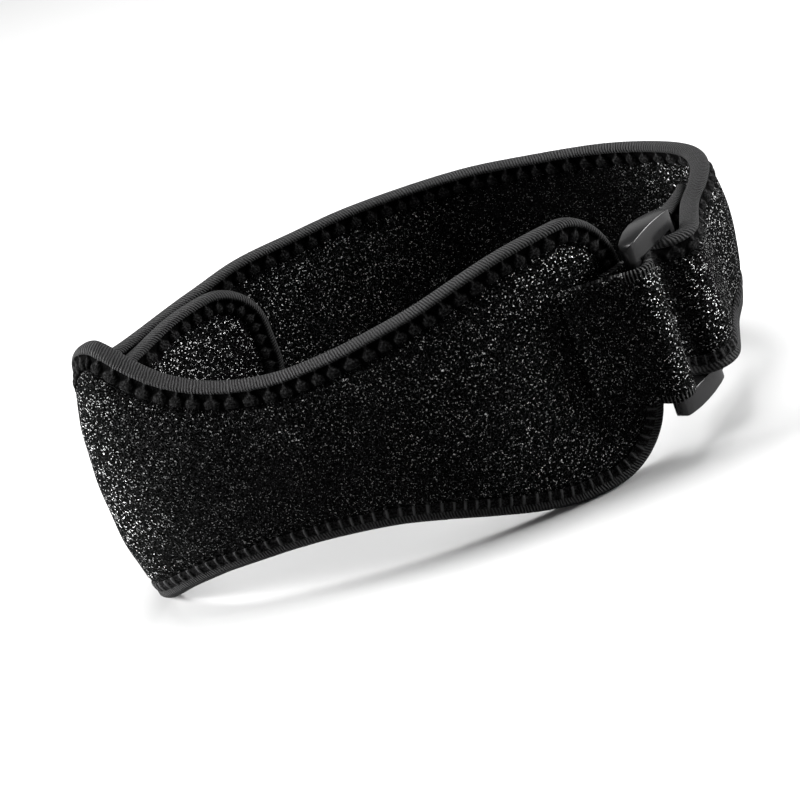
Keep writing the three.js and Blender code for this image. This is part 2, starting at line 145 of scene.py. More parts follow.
# Plan of the back band past the tongue, to just before the buckle
BACK_PLAN = (
    (-0.019, 1.0), (0.290, 0.989), (0.599, 0.874), (0.796, 0.736), (0.920, 0.552),
    (0.994, 0.322), (1.006, 0.092), (0.978, -0.138), (0.932, -0.345),
)

# Edges of the front panel: place along it, low and high edge, bulge
PANEL_ROWS = np.array((
    (0, -0.004, 0.93, 0), (0.08, -0.006, 0.93, 0.04), (0.12, -0.004, 0.922, 0.12),
    (0.15, 0.006, 0.909, 0.21), (0.193, 0.035, 0.881, 0.34), (0.24, 0.076, 0.846, 0.43),
    (0.29, 0.118, 0.817, 0.48), (0.345, 0.153, 0.789, 0.52), (0.41, 0.168, 0.77, 0.57),
    (0.46, 0.165, 0.778, 0.62), (0.506, 0.151, 0.806, 0.7), (0.547, 0.131, 0.852, 0.8),
    (0.58, 0.104, 0.907, 0.9), (0.61, 0.074, 0.965, 0.98), (0.632, 0.046, 0.988, 1),
    (0.66, 0.012, 0.965, 1), (0.69, -0.006, 0.888, 0.85), (0.73, -0.004, 0.79, 0.3),
    (0.77, 0.05, 0.738, 0.05), (0.82, 0.13, 0.733, 0), (0.886, 0.23, 0.768, 0),
    (0.93, 0.278, 0.778, 0), (1, 0.285, 0.778, 0),
))
# Edges of the back band: place along it up to the buckle, low and high edge, bulge, lean
BAND_ROWS = np.array((
    (0, 0.24, 0.93, 0, 0), (0.05, 0.23, 0.912, 0.05, 0), (0.105, 0.2, 0.909, 0.1, 0),
    (0.187, 0.14, 0.946, 0.25, 0), (0.25, 0.08, 0.984, 0.4, 0), (0.32, 0.02, 0.993, 0.5, 0),
    (0.38, -0.01, 1, 0.55, 0), (0.46, -0.01, 0.993, 0.6, 0), (0.536, 0.035, 0.98, 0.65, 0),
    (0.6, 0.1, 0.954, 0.7, 0.1), (0.668, 0.175, 0.926, 0.8, 0.4), (0.74, 0.24, 0.898, 1, 0.8),
    (0.81, 0.28, 0.89, 1, 1), (0.87, 0.286, 0.884, 0.75, 0.7),
))
# Edges of the tab, seam to bar: place along it, low and high edge in shares of half the strap
TAB_ROWS = np.array(((0, -0.6, 1.02), (0.35, -0.74, 1), (0.7, -0.87, 0.99), (1, -0.97, 0.98)))


# Shape of the cloth walls

def curve_points(points, steps=24):
    """A smooth line through points, with its speed set by their spacing."""
    p = np.asarray(points, float)
    p = np.vstack((2 * p[0] - p[1], p, 2 * p[-1] - p[-2]))
    t = np.linspace(0, 1, steps, endpoint=False)[:, None]
    line = []
    for i in range(len(p) - 3):
        a, b, c, d = p[i:i + 4]
        ab, bc, cd = (np.linalg.norm(q) ** 0.5 for q in (b - a, c - b, d - c))
        start = ((b - a) / ab - (c - a) / (ab + bc) + (c - b) / bc) * bc
        end = ((c - b) / bc - (d - b) / (bc + cd) + (d - c) / cd) * bc
        line.append(b + start * t + (3 * (c - b) - 2 * start - end) * t ** 2
                    + (start + end - 2 * (c - b)) * t ** 3)
    return np.vstack((*line, p[-2]))


def table_value(rows, column, at):
    """A smooth value between the rows of a table."""
    x, y = rows[:, 0], rows[:, column]
    i = np.searchsorted(x[1:-1], at)
    last = len(x) - 1
    below, above = np.clip(np.arange(len(x)) - 1, 0, last), np.clip(np.arange(len(x)) + 1, 0, last)
    slope = (y[above] - y[below]) / (x[above] - x[below])
    run = x[i + 1] - x[i]
    t = np.clip((at - x[i]) / run, 0, 1)
    ease = t * t * (3 - 2 * t)
    lead = t * (1 - t) ** 2 * run * slope[i]
    tail = t * t * (t - 1) * run * slope[i + 1]
    return y[i] * (1 - ease) + y[i + 1] * ease + lead + tail


class PlanLine:
    """A line seen from above, with a place and an outward side at each length."""

    def __init__(self, points):
        self.points = curve_points(points)
        step = np.linalg.norm(np.diff(self.points, axis=0), axis=1)
        self.run = np.concatenate(((0,), np.cumsum(step)))
        self.length = self.run[-1]
        ahead = np.vstack((self.points[1:], self.points[-1:]))
        along = ahead - np.vstack((self.points[:1], self.points[:-1]))
        self.out = np.column_stack((-along[:, 1], along[:, 0]))
        self.out /= np.linalg.norm(self.out, axis=1)[:, None]

    def offset(self, s, out):
        """Points at lengths s, moved outwards."""
        s = np.atleast_1d(np.asarray(s, float))
        i = np.searchsorted(self.run[1:-1], s)
        t = ((s - self.run[i]) / (self.run[i + 1] - self.run[i]))[:, None]
        turn = np.clip(t, 0, 1)
        side = self.out[i] * (1 - turn) + self.out[i + 1] * turn
        side /= np.linalg.norm(side, axis=1)[:, None]
        return self.points[i] * (1 - t) + self.points[i + 1] * t + side * np.reshape(out, (-1, 1))


def corner_drop(corner, distance):
    """The drop of a rounded corner at a distance from a wall's end."""
    t = 1 - np.clip(distance / corner[0], 0, 1)
    return corner[1] * (1 - np.sqrt(1 - t * t))


def smoothstep(x, start, end):
    t = np.clip((x - start) / (end - start), 0, 1)
    return t * t * (3 - 2 * t)


def bell(x, middle, width):
    return np.exp(-((x - middle) / width) ** 2)


def plan_points(rows):
    return np.asarray(rows) * (LOOP_WIDTH / 2, LOOP_DEPTH / 2)


class Wall:
    """A cloth wall: a plan line with a low and a high edge, a bulge and a lean."""

    def __init__(self, line, low, high, bulge, lean, rounds, pleat_pitch, thinning=0):
        self.line, self.low, self.high = line, low, high
        self.bulge, self.lean, self.rounds = bulge, lean, rounds
        self.pleat_pitch, self.thinning = pleat_pitch, thinning

    def stations(self, step):
        """Lengths along the wall, closer together in its rounded ends."""
        start, end = self.rounds
        count = 16
        curve = 1 - np.cos(np.arange(count) / count * math.pi / 2)
        length = self.line.length
        middle = np.linspace(start, length - end, round((length - start - end) / step) + 1)
        return np.concatenate((start * curve, middle, (length - end * curve)[::-1]))

    def bend(self, s, z, out):
        """Flat places, bent round the plan line, in the frame and in metres."""
        low, high = self.low(s), self.high(s)
        share = (z - low) / np.maximum(high - low, TAPE_LEG)
        end = self.thinning * smoothstep(s, self.line.length - STRAP_RETURN * 0.8, self.line.length)
        out = out - (out + TAPED_HALF) * end
        out = out + self.bulge(s) * 4 * share * (1 - share) + self.lean(s) * (0.5 - share)
        place = self.line.offset(s, out) + PLAN_MIDDLE
        return np.column_stack((place, z)) * MM


def panel_wall():
    line = PlanLine(plan_points(FRONT_PLAN + TONGUE_PLAN))
    length = line.length

    def low(s):
        edge = np.maximum(0, table_value(PANEL_ROWS, 1, s / length) * PANEL_HEIGHT)
        return edge + corner_drop(PANEL_LOW_CORNER, s) + corner_drop(TONGUE_END, length - s)

    def high(s):
        edge = table_value(PANEL_ROWS, 2, s / length) * PANEL_HEIGHT
        return edge - corner_drop(PANEL_TOP_CORNER, s) - corner_drop(TONGUE_END, length - s)

    def bulge(s):
        return table_value(PANEL_ROWS, 3, s / length) * PANEL_BULGE

    def lean(s):
        return table_value(PANEL_ROWS, 3, s / length) * PANEL_LEAN

    return Wall(line, low, high, bulge, lean, (PANEL_LOW_CORNER[0], TONGUE_END[0]), PANEL_PLEATS)


def buckle_frame(panel):
    """The places of the two upright bars and of the middle between them, seen from above."""
    turn = math.radians(BUCKLE_TURN)
    across = np.array((math.cos(turn), math.sin(turn)))
    lift = TAPED_HALF + GAP + TAB_THICKNESS + GAP + BUCKLE_THICKNESS / 2
    left_bar = panel.line.offset(BUCKLE_BACKSET, lift)[0]
    reach = (BUCKLE_WIDTH - BUCKLE_BAR) / 2
    return {"left_bar": left_bar, "middle": left_bar + across * reach,
            "right_bar": left_bar + across * reach * 2}


def round_bar(bar, radius, start, sweep, steps=10):
    angle = np.radians(start + np.arange(steps + 1) / steps * sweep)
    return bar + radius * np.column_stack((np.cos(angle), np.sin(angle)))


def band_wall(panel, buckle):
    lap_start = panel.line.length * LAP_START
    s = lap_start + np.arange(7) / 6 * (panel.line.length - lap_start)
    lap = panel.line.offset(s, LAYER_STEP + panel.bulge(s) + panel.lean(s) / 2)
    outer = np.vstack((lap, plan_points(BACK_PLAN)))
    radius = BAR_REACH + GAP + TAPED_HALF
    roll = round_bar(buckle["right_bar"], radius, STRAP_ARRIVES, -STRAP_SWEEP)
    to_bar = PlanLine(np.vstack((outer, roll[:1])))
    back = to_bar.offset(to_bar.length - STRAP_RETURN * np.array((0.62, 1)), -LAYER_STEP)
    line = PlanLine(np.vstack((outer, roll, back)))
    scale = (to_bar.length, BAND_HEIGHT, BAND_HEIGHT, BAND_BULGE, -BAND_LEAN)
    half = STRAP_WIDTH / 2
    strap = (BUCKLE_RISE - half, BUCKLE_RISE + half, 0, 0)
    rows = np.vstack((BAND_ROWS * scale, (to_bar.length * 0.955, *strap), (line.length, *strap)))

    def ends(s):
        return corner_drop(BAND_CORNER, s) + corner_drop(BAND_CORNER, line.length - s)

    def low(s):
        return np.maximum(0, table_value(rows, 1, s)) + ends(s)

    def high(s):
        return table_value(rows, 2, s) - ends(s)

    def bulge(s):
        return table_value(rows, 3, s)

    def lean(s):
        return table_value(rows, 4, s)

    return Wall(line, low, high, bulge, lean, (BAND_CORNER[0], BAND_CORNER[0]), BAND_PLEATS,
                RETURN_THINNING)


panel = panel_wall()
buckle = buckle_frame(panel)
band = band_wall(panel, buckle)


# Meshes

def add_mesh(name, points, faces, corner_uv, painted_stitch_shade, threads_and_highlights):
    """A mesh with a UV map that measures the cloth in mm, and marks of its stitches' painted shade, its
    lighter threads and its painted highlights.
    """
    mesh = bpy.data.meshes.new(name)
    mesh.from_pydata(points.tolist(), [], faces.tolist())
    for label, values in (("painted_stitch_shade", painted_stitch_shade), ("threads_and_highlights", threads_and_highlights)):
        mark = mesh.attributes.new(label, "FLOAT", "POINT")
        mark.data.foreach_set("value", np.asarray(values, np.float32))
    uv = mesh.uv_layers.new(name="cloth")
    uv.data.foreach_set("uv", np.asarray(corner_uv, np.float32).ravel())
    mesh.polygons.foreach_set("use_smooth", np.ones(len(mesh.polygons), bool))
    mesh.update()
    piece = bpy.data.objects.new(name, mesh)
    bpy.context.scene.collection.objects.link(piece)
    return piece


def flat_edge(wall, step):
    """The outside edge of a wall, laid flat, as a loop of even steps."""
    s = wall.stations(1)
    low, high = np.column_stack((s, wall.low(s))), np.column_stack((s, wall.high(s)))
    loop = np.vstack((low, high[::-1], low[:1]))
    run = np.concatenate(((0,), np.cumsum(np.linalg.norm(np.diff(loop, axis=0), axis=1))))
    even = np.linspace(0, run[-1], round(run[-1] / step), endpoint=False)
    edge = np.column_stack([np.interp(even, run, loop[:, k]) for k in (0, 1)])
    along = np.roll(edge, -2, 0) - np.roll(edge, 2, 0)
    along /= np.linalg.norm(along, axis=1)[:, None]
    return edge, np.column_stack((along[:, 1], -along[:, 0])), even, run[-1]


def nearest_edge(edge, places, total, group=2000):
    """The distance from flat places to a wall's outside edge, and the length along it there."""
    after = np.roll(edge, -1, 0)
    side = after - edge
    square = (side ** 2).sum(1)
    distance, length = np.empty(len(places)), np.empty(len(places))
    step = total / len(edge)
    for first in range(0, len(places), group):
        part = places[first:first + group]
        gap = part[:, None] - edge[None]
        t = np.clip((gap * side[None]).sum(2) / square[None], 0, 1)
        far = np.linalg.norm(gap - t[..., None] * side[None], axis=2)
        best = far.argmin(1)
        row = np.arange(len(part))
        distance[first:first + group] = far[row, best]
        length[first:first + group] = (best + t[row, best]) * step
    return distance, length


# How far in the tape reaches, and where its inner side lies
TAPE_HEM = 5.3
TAPE_UNDER = 1.6

# Steps of the meshes: walls, the edges that they are measured from, and tapes
PAD_STEP = 0.8
EDGE_STEP = 0.8
TAPE_STEP = 0.35

# Stitches of the top edge: how far in their pits are, the depth of these and of the notches
# below them, and the height of the humps between
PIT_MIDDLE = 2.8
PIT_DEPTH = 0.7
NOTCH_DEPTH = 0.3
HUMP_HEIGHT = 0.32

# Pleats of the bottom edge: their height, the valleys between, and the run they begin over
PLEAT_HEIGHT = 0.5
PLEAT_VALLEY = 0.3
CORNER_RUN = 9


class StitchRow:
    """The stitches along a wall's edge: pits and humps at its top, narrow pleats at its bottom."""

    def __init__(self, wall):
        s = wall.stations(1)
        total = flat_edge(wall, EDGE_STEP)[3]
        low_side = np.column_stack((s, wall.low(s)))
        self.turn = np.linalg.norm(np.diff(low_side, axis=0), axis=1).sum()
        self.length = np.linspace(0, total, 4000)
        rate = 1 / (STITCH_PITCH + (wall.pleat_pitch - STITCH_PITCH) * self.lowness(self.length))
        rate *= 1 + 0.1 * np.sin(self.length * 0.21) + 0.07 * np.sin(self.length * 0.53 + 1)
        turns = np.concatenate(((0,), np.cumsum((rate[1:] + rate[:-1]) / 2)))
        self.turns = turns / turns[-1] * round(turns[-1] * self.length[1])

    def lowness(self, length):
        """1 along the bottom edge, 0 along the top edge, smooth between."""
        before = smoothstep(length, 0, CORNER_RUN)
        return before * (1 - smoothstep(length, self.turn - CORNER_RUN, self.turn))

    def apart(self, length):
        """0 at a stitch, 0.5 halfway to the next one."""
        turns = np.interp(length, self.length, self.turns)
        return abs(turns - np.round(turns))

    def pleats(self, length):
        """1 along the narrow pleats of the bottom edge, 0 between them."""
        return 1 - smoothstep(self.apart(length), 0.06, 0.2)

    def on_tape(self, length, inward):
        """How far the tape's leg stands out, how deep in painted shade it is, and its lighter threads and
        painted highlights.
        """
        low, apart = self.lowness(length), self.apart(length)
        leg = smoothstep(inward, 1.5, 2.2)
        wide = np.interp(inward, (2.4, 3.9, TAPE_HEM), (0.4, 0.09, 0.15))
        pit = leg * (1 - smoothstep(apart, wide - 0.05, wide + 0.07))
        hump = smoothstep(apart, 0.08, 0.36) * smoothstep(inward, 3, 4)
        # A lighter thread between the pits, partly a painted highlight
        thread_and_highlight = leg * smoothstep(apart, 0.4, 0.47) * (1 - smoothstep(inward, 3, 3.7))
        top = -PIT_DEPTH * pit * bell(inward, PIT_MIDDLE, 1) - NOTCH_DEPTH * pit + HUMP_HEIGHT * hump
        # Painted shade: the leg darker, its pits darker still
        top_shade = leg * 0.34 + 0.62 * pit
        pleat, leg = self.pleats(length), smoothstep(inward, 2.5, 3.2)
        bottom = leg * (PLEAT_HEIGHT * pleat - PLEAT_VALLEY)
        # Painted shade in the valleys between the pleats
        bottom_shade = leg * (0.5 - 0.2 * pleat)
        # Lighter threads at the top, and a painted highlight on the pleats' crests at the bottom
        threads_and_highlights = 0.5 * thread_and_highlight * (1 - low) + 0.8 * leg * pleat * low
        return (top * (1 - low) + bottom * low, top_shade * (1 - low) + bottom_shade * low, threads_and_highlights)

    def on_cloth(self, length, inward):
        """The same for the padded cloth just past the tape."""
        low, apart = self.lowness(length), self.apart(length)
        past = bell(inward, TAPE_HEM + 0.4, 1.2)
        notch = 1 - smoothstep(apart, 0.1, 0.3)
        top = (0.1 - 0.35 * notch) * past
        pleat = self.pleats(length)
        reach = 1 - smoothstep(inward, TAPE_HEM + 0.4, TAPE_HEM + 2)
        bottom = (0.35 * pleat - 0.2) * reach
        # Painted shade in the notches below the humps and in the valleys between the pleats
        shade = 0.7 * notch * past * (1 - low) + 0.6 * (1 - pleat) * reach * low
        # A painted highlight on the pleats' crests
        return top * (1 - low) + bottom * low, shade, 0.6 * pleat * reach * low


def soft_waves(s, z, seed):
    """Slow unevenness of padded cloth, mostly between -1 and 1."""
    draw = np.random.default_rng(seed)
    total = np.zeros(len(s))
    for _ in range(9):
        angle, wave, start = draw.uniform(0, math.pi), draw.uniform(14, 46), draw.uniform(0, 7)
        total += np.sin((s * math.cos(angle) + z * math.sin(angle)) * 2 * math.pi / wave + start)
    return total / 4


# Slow unevenness of the pads: its height, and how far in from the edge it starts and is full
WAVE_HEIGHT = 0.3
WAVE_START = 7
WAVE_FULL = 15


def padded_wall(name, wall, seed, waviness):
    """A padded wall with both faces, pulled in where the stitches of its tape are."""
    edge, _, _, total = flat_edge(wall, EDGE_STEP)
    row = StitchRow(wall)
    s = wall.stations(PAD_STEP)
    columns = len(s)
    low, high = np.column_stack((s, wall.low(s))), np.column_stack((s, wall.high(s)))
    loop = np.vstack((low, high[::-1]))
    along = np.roll(loop, -1, 0) - np.roll(loop, 1, 0)
    along /= np.linalg.norm(along, axis=1)[:, None]
    inner = loop - np.column_stack((along[:, 1], -along[:, 0])) * TAPE_RIM
    low, high = inner[:columns], inner[columns:][::-1]
    levels = round((wall.high(s) - wall.low(s)).max() / PAD_STEP) + 1
    up = np.linspace(0, 1, levels)
    flat = (low[:, None] * (1 - up[None, :, None]) + high[:, None] * up[None, :, None]).reshape(-1, 2)
    distance, length = nearest_edge(edge, flat, total)
    stitch_lift, painted_stitch_shade, threads_and_highlights = row.on_cloth(length, distance)
    fill = smoothstep(distance, TAPE_HEM - 0.4, TAPE_HEM + 2)
    half = (PAD_EDGE_THICKNESS + (PAD_THICKNESS - PAD_EDGE_THICKNESS) * fill) / 2
    sides = []
    for side, side_seed in ((1, seed), (-1, seed + 1)):
        inside = smoothstep(distance, WAVE_START, WAVE_FULL) * waviness(flat, side)
        lift = WAVE_HEIGHT * inside * soft_waves(flat[:, 0], flat[:, 1], side_seed)
        lift += stitch_lift
        sides.append(wall.bend(flat[:, 0], flat[:, 1], side * (half + lift)))
    points = np.vstack(sides)
    faces, uv = closed_sheet(columns, levels, flat)
    return add_mesh(name, points, faces, uv, np.tile(painted_stitch_shade, 2), np.tile(threads_and_highlights, 2))


def wavy_everywhere(flat, side):
    return 1


def wavy_off_tab(flat, side):
    """The panel's outside lies flat where the tab is sewn on."""
    if side < 0:
        return 1
    fade, half = 8, STRAP_WIDTH / 2
    along = 1 - smoothstep(flat[:, 0], TAB_LENGTH, TAB_LENGTH + fade)
    reach = abs(flat[:, 1] - BUCKLE_RISE)
    return 1 - along * (1 - smoothstep(reach, half, half + fade))


def closed_sheet(columns, levels, flat):
    """The faces of a sheet with two sides, joined round their edges, and their flat places."""
    shift = columns * levels
    index = np.arange(shift).reshape(columns, levels)
    other = index + shift
    a, b, c, d = index[:-1, :-1], index[:-1, 1:], index[1:, 1:], index[1:, :-1]
    outer = np.stack((a, b, c, d), -1).reshape(-1, 4)
    inner = np.stack((a, d, c, b), -1).reshape(-1, 4) + shift

    def rim(here, there):
        return np.stack((here[:-1], here[1:], there[1:], there[:-1]), -1)

    faces = np.vstack((
        outer, inner, rim(index[:, 0], other[:, 0]), rim(other[:, -1], index[:, -1]),
        rim(other[0], index[0]), rim(index[-1], other[-1]),
    ))
    uv = np.vstack((flat, flat))[faces.ravel()]
    return faces, uv


# The tape's section: inwards from the edge as a minus, and out from the wall's middle
TAPE_OUTER = (
    (-5.3, 1.64), (-5.28, 1.78), (-5.12, 1.95), (-4.75, 2.1), (-4.3, 2.2), (-3.85, 2.24),
    (-3.4, 2.2), (-3.0, 2.14), (-2.65, 2.1), (-2.3, 2.12), (-1.95, 2.22), (-1.6, 2.38),
    (-1.2, 2.42), (-0.85, 2.28), (-0.55, 2.04), (-0.28, 1.66), (-0.1, 1.15), (0, 0.5),
)
TAPE_INNER = ((-1.0, 1.56), (-2.2, 1.56), (-3.6, 1.56), (-5.2, 1.57))
# Where its round edge ends, and the least that its face stands above its inner side
TAPE_ROUND = 1.3
TAPE_LEAST = 0.03


def edge_tape(name, wall):
    """The elastic tape folded over a wall's edge, drawn in by its stitches."""
    edge, out, length, total = flat_edge(wall, TAPE_STEP)
    face = np.array(TAPE_OUTER)
    under = np.array(TAPE_INNER)[::-1]
    section = np.vstack((face, face[::-1] * (1, -1), under * (1, -1), under[::-1]))
    across = np.concatenate(((0,), np.cumsum(np.linalg.norm(np.diff(section, axis=0), axis=1))))
    row = StitchRow(wall)
    rings, painted_stitch_shade, threads_and_highlights = [], [], []
    for inward, side in section:
        on_face = abs(side) > TAPE_UNDER and inward < -TAPE_ROUND
        lift, shade, bare = row.on_tape(length, np.full(len(length), -inward))
        lowest = TAPE_UNDER + TAPE_LEAST - abs(side)
        drawn = side + np.sign(side) * np.maximum(lift, lowest) * on_face
        flat = edge + out * inward
        rings.append(wall.bend(flat[:, 0], flat[:, 1], drawn))
        painted_stitch_shade.append(shade)
        threads_and_highlights.append(bare)
    points = np.stack(rings, 1).reshape(-1, 3)
    count, around = len(edge), len(section)
    ring, place = np.arange(count)[:, None], np.arange(around)[None]
    after, up = (ring + 1) % count, (place + 1) % around

    def at(r, p):
        return r * around + p

    faces = np.stack((at(ring, place), at(after, place), at(after, up), at(ring, up)), -1)
    wide = np.append(across, across[-1] + 0.5)
    here, there = np.append(length, total)[:-1, None], np.append(length, total)[1:, None]
    one, two = wide[:-1][None], wide[1:][None]
    full = (count, around)
    uv = np.stack([np.stack((np.broadcast_to(u, full), np.broadcast_to(v, full)), -1)
                   for u, v in ((here, one), (there, one), (there, two), (here, two))], 2)
    return add_mesh(name, points, faces.reshape(-1, 4), uv.reshape(-1, 2),
                    np.stack(painted_stitch_shade, 1).ravel(), np.stack(threads_and_highlights, 1).ravel())


# The tab's mesh, its rounded rim, its ribs beside the bar and its slanting seam
TAB_COLUMNS, TAB_LEVELS = 300, 90
TAB_RIM = 0.9
TAB_WAVE = 0.12
TAB_RIB_PITCH = 0.85
TAB_RIB_DEPTH = 0.3
TAB_SEAM_PITCH = 1.0
TAB_SEAM_DEPTH = 0.12


def buckle_tab(name):
    """The tab: out from its seam, round the left bar and back under itself."""
    half = TAB_THICKNESS / 2
    on_pad = PAD_THICKNESS / 2 + GAP + half
    on_tape = TAPED_HALF + GAP + half
    over_tuck = on_tape + TAB_THICKNESS + GAP
    place = panel.line.offset
    front = np.vstack((place(TAB_LENGTH, on_pad), place((TAB_LENGTH + TAB_TUCK) / 2 + 1, on_pad + GAP),
                       place(TAB_TUCK, over_tuck)))
    roll = round_bar(buckle["left_bar"], BAR_REACH + GAP + half, TAB_ARRIVES, TAB_SWEEP)
    back = np.vstack((place(TAB_TUCK / 2, on_tape), place(TAB_TUCK - 1, on_tape)))
    line = PlanLine(np.vstack((front, roll, back)))
    s = np.linspace(0, line.length, TAB_COLUMNS)
    at = np.minimum(s / TAB_LENGTH, 1)
    low = BUCKLE_RISE + table_value(TAB_ROWS, 1, at) * STRAP_WIDTH / 2
    high = BUCKLE_RISE + table_value(TAB_ROWS, 2, at) * STRAP_WIDTH / 2
    up = 0.5 - 0.5 * np.cos(np.linspace(0, math.pi, TAB_LEVELS))
    up = 0.35 * up + 0.65 * np.linspace(0, 1, TAB_LEVELS)
    ss = np.repeat(s, TAB_LEVELS)
    z = (low[:, None] + (high - low)[:, None] * up[None]).ravel()
    rim = np.minimum(z - np.repeat(low, TAB_LEVELS), np.repeat(high, TAB_LEVELS) - z)
    rim = np.minimum(rim, np.minimum(ss, line.length - ss) + 0.15)
    thick = half * (0.5 + 0.5 * np.sqrt(1 - (1 - np.clip(rim / TAB_RIM, 0, 1)) ** 2))
    seam = 1 - smoothstep(ss, 0.2, 4.2)
    wave = TAB_WAVE * np.sin(ss * 0.9 + 0.6 * np.sin(z * 0.16)) * smoothstep(rim, 0.5, 3)
    near_bar = smoothstep(ss, 13, 18) * (1 - smoothstep(ss, 24, 30))
    ribs = 0.5 + 0.5 * np.sin(2 * math.pi * ss / TAB_RIB_PITCH)
    hem = (1 - smoothstep(rim, 1.6, 3.4)) * near_bar
    slant = 0.5 + 0.5 * np.sin(2 * math.pi * (z + 0.5 * ss) / TAB_SEAM_PITCH)
    slant *= bell(ss, 2.2, 1.6)
    outside = thick * (1 - 1.3 * seam) - TAB_RIB_DEPTH * hem * ribs - TAB_SEAM_DEPTH * slant
    outside += wave * (1 - seam)
    points = []
    for lift in (outside, -thick):
        points.append(np.column_stack((line.offset(ss, lift) + PLAN_MIDDLE, z)) * MM)
    faces, uv = closed_sheet(TAB_COLUMNS, TAB_LEVELS, np.column_stack((ss, z - BUCKLE_RISE)))
    # Painted shade in the grooves between the ribs and along the seam's stitches
    painted_stitch_shade = np.maximum(hem * ribs, 0.6 * slant)
    # A painted highlight on the ribs' crests
    threads_and_highlights = hem * (1 - ribs) ** 2
    return add_mesh(name, np.vstack(points), faces, uv, np.tile(painted_stitch_shade, 2), np.tile(threads_and_highlights, 2))


# Buckle

# Cuts across each end of the ring, and segments of its corners and of its rounded edges
END_CUTS = 5
CORNER_CUTS = 5
EDGE_CUTS = 3


def choose_points(piece, test):
    """Selects the vertices that pass a test, and the edges and faces between them."""
    bpy.ops.mesh.select_mode(type="VERT")
    bpy.ops.mesh.select_all(action="DESELECT")
    mesh = bmesh.from_edit_mesh(piece.data)
    for v in mesh.verts:
        v.select = bool(test(v.co))
    mesh.select_flush(True)
    mesh.select_flush(False)


def choose_edges(piece, test):
    """Selects the edges whose two ends pass a test."""
    bpy.ops.mesh.select_mode(type="EDGE")
    bpy.ops.mesh.select_all(action="DESELECT")
    mesh = bmesh.from_edit_mesh(piece.data)
    for e in mesh.edges:
        if test(*(v.co for v in e.verts)):
            e.select = True


def slide_buckle(name):
    """The ring with two upright bars, its ends arched, bowed and swollen to the back."""
    height = SLOT_LENGTH + 2 * BUCKLE_END_BAR
    half_slot, half_width = SLOT_LENGTH / 2 * MM, BUCKLE_WIDTH / 2 * MM
    half_height, depth, slack = height / 2 * MM, BUCKLE_THICKNESS * MM, 0.1 * MM
    bpy.ops.object.select_all(action="DESELECT")
    bpy.ops.mesh.primitive_plane_add(size=1, rotation=(math.pi / 2, 0, 0))
    ring = bpy.context.object
    ring.name = ring.data.name = name
    ring.scale = (BUCKLE_WIDTH * MM, height * MM, 1)
    bpy.ops.object.transform_apply(location=False, rotation=True, scale=True)
    bpy.ops.object.mode_set(mode="EDIT")

    # A flat ring with cuts across both ends, made as thick as the bars
    bpy.ops.mesh.select_all(action="SELECT")
    bpy.ops.mesh.inset(thickness=BUCKLE_BAR * MM)
    bpy.ops.transform.resize(value=(1, 1, SLOT_LENGTH / (height - 2 * BUCKLE_BAR)))
    bpy.ops.mesh.delete(type="FACE")
    for end in (1, -1):
        choose_edges(ring, lambda a, b: abs(a.z - b.z) < slack
                     and min(a.z * end, b.z * end) > half_slot - slack)
        bpy.ops.mesh.subdivide(number_cuts=END_CUTS)
    bpy.ops.mesh.select_all(action="SELECT")
    bpy.ops.mesh.extrude_region_move(TRANSFORM_OT_translate={"value": (0, depth, 0)})
    bpy.ops.mesh.select_all(action="SELECT")
    bpy.ops.transform.translate(value=(0, -depth / 2, 0))
    bpy.ops.mesh.normals_make_consistent(inside=False)
    choose_edges(ring, lambda *ends: all(
        abs(co.x) > half_width - slack and abs(co.z) > half_height - slack for co in ends))
    bpy.ops.mesh.bevel(offset=BUCKLE_OUTER_CORNER * MM, segments=CORNER_CUTS)

    # Each column of an end moves by its place across the ring
    mesh = bmesh.from_edit_mesh(ring.data)
    columns = sorted({round(abs(v.co.x), 6) for v in mesh.verts if abs(v.co.z) > half_slot - slack})
    for x in columns:
        share = 1 - (x / half_width) ** 2
        bow = BUCKLE_BOW * (x / half_width) ** 4
        swell = BUCKLE_BACK_SWELL * share - BUCKLE_TIP_TAPER * (1 - share)
        for end in (1, -1):
            def at_end(co):
                return abs(abs(co.x) - x) < slack and co.z * end > half_slot - slack

            choose_points(ring, at_end)
            bpy.ops.transform.translate(value=(0, bow * MM, 0))
            choose_points(ring, lambda co: at_end(co) and co.z * end > half_slot + slack)
            bpy.ops.transform.translate(value=(0, 0, end * BUCKLE_ARCH * share * MM))
            choose_points(ring, lambda co: at_end(co) and co.y > 0)
            bpy.ops.transform.translate(value=(0, swell * MM, 0))
    bpy.ops.object.mode_set(mode="OBJECT")

    bevel = ring.modifiers.new("soft edges", "BEVEL")
    bevel.width, bevel.segments, bevel.angle_limit = BUCKLE_EDGE_ROUND * MM, EDGE_CUTS, math.radians(50)
    bpy.ops.object.modifier_apply(modifier=bevel.name)
    bpy.ops.object.shade_smooth_by_angle(angle=math.radians(35))
    ring.rotation_euler = (0, 0, math.radians(BUCKLE_TURN))
    ring.location = (*((buckle["middle"] + PLAN_MIDDLE) * MM), BUCKLE_RISE * MM)
    bpy.ops.object.transform_apply(location=True, rotation=True, scale=True)
    return ring


# Materials

# The cloth between its loops, in its fuzz, on its fine loops and glints, and its painted highlight on the
# crests of pleats and ribs
CLOTH_DEEP = (0.0003, 0.0003, 0.0003)
CLOTH_FUZZ = (0.0085, 0.0085, 0.0087)
CLOTH_FINE = (0.013, 0.013, 0.0133)
CLOTH_GLINT = (0.24, 0.24, 0.24)
CLOTH_CREST_HIGHLIGHT = (0.03, 0.03, 0.03)

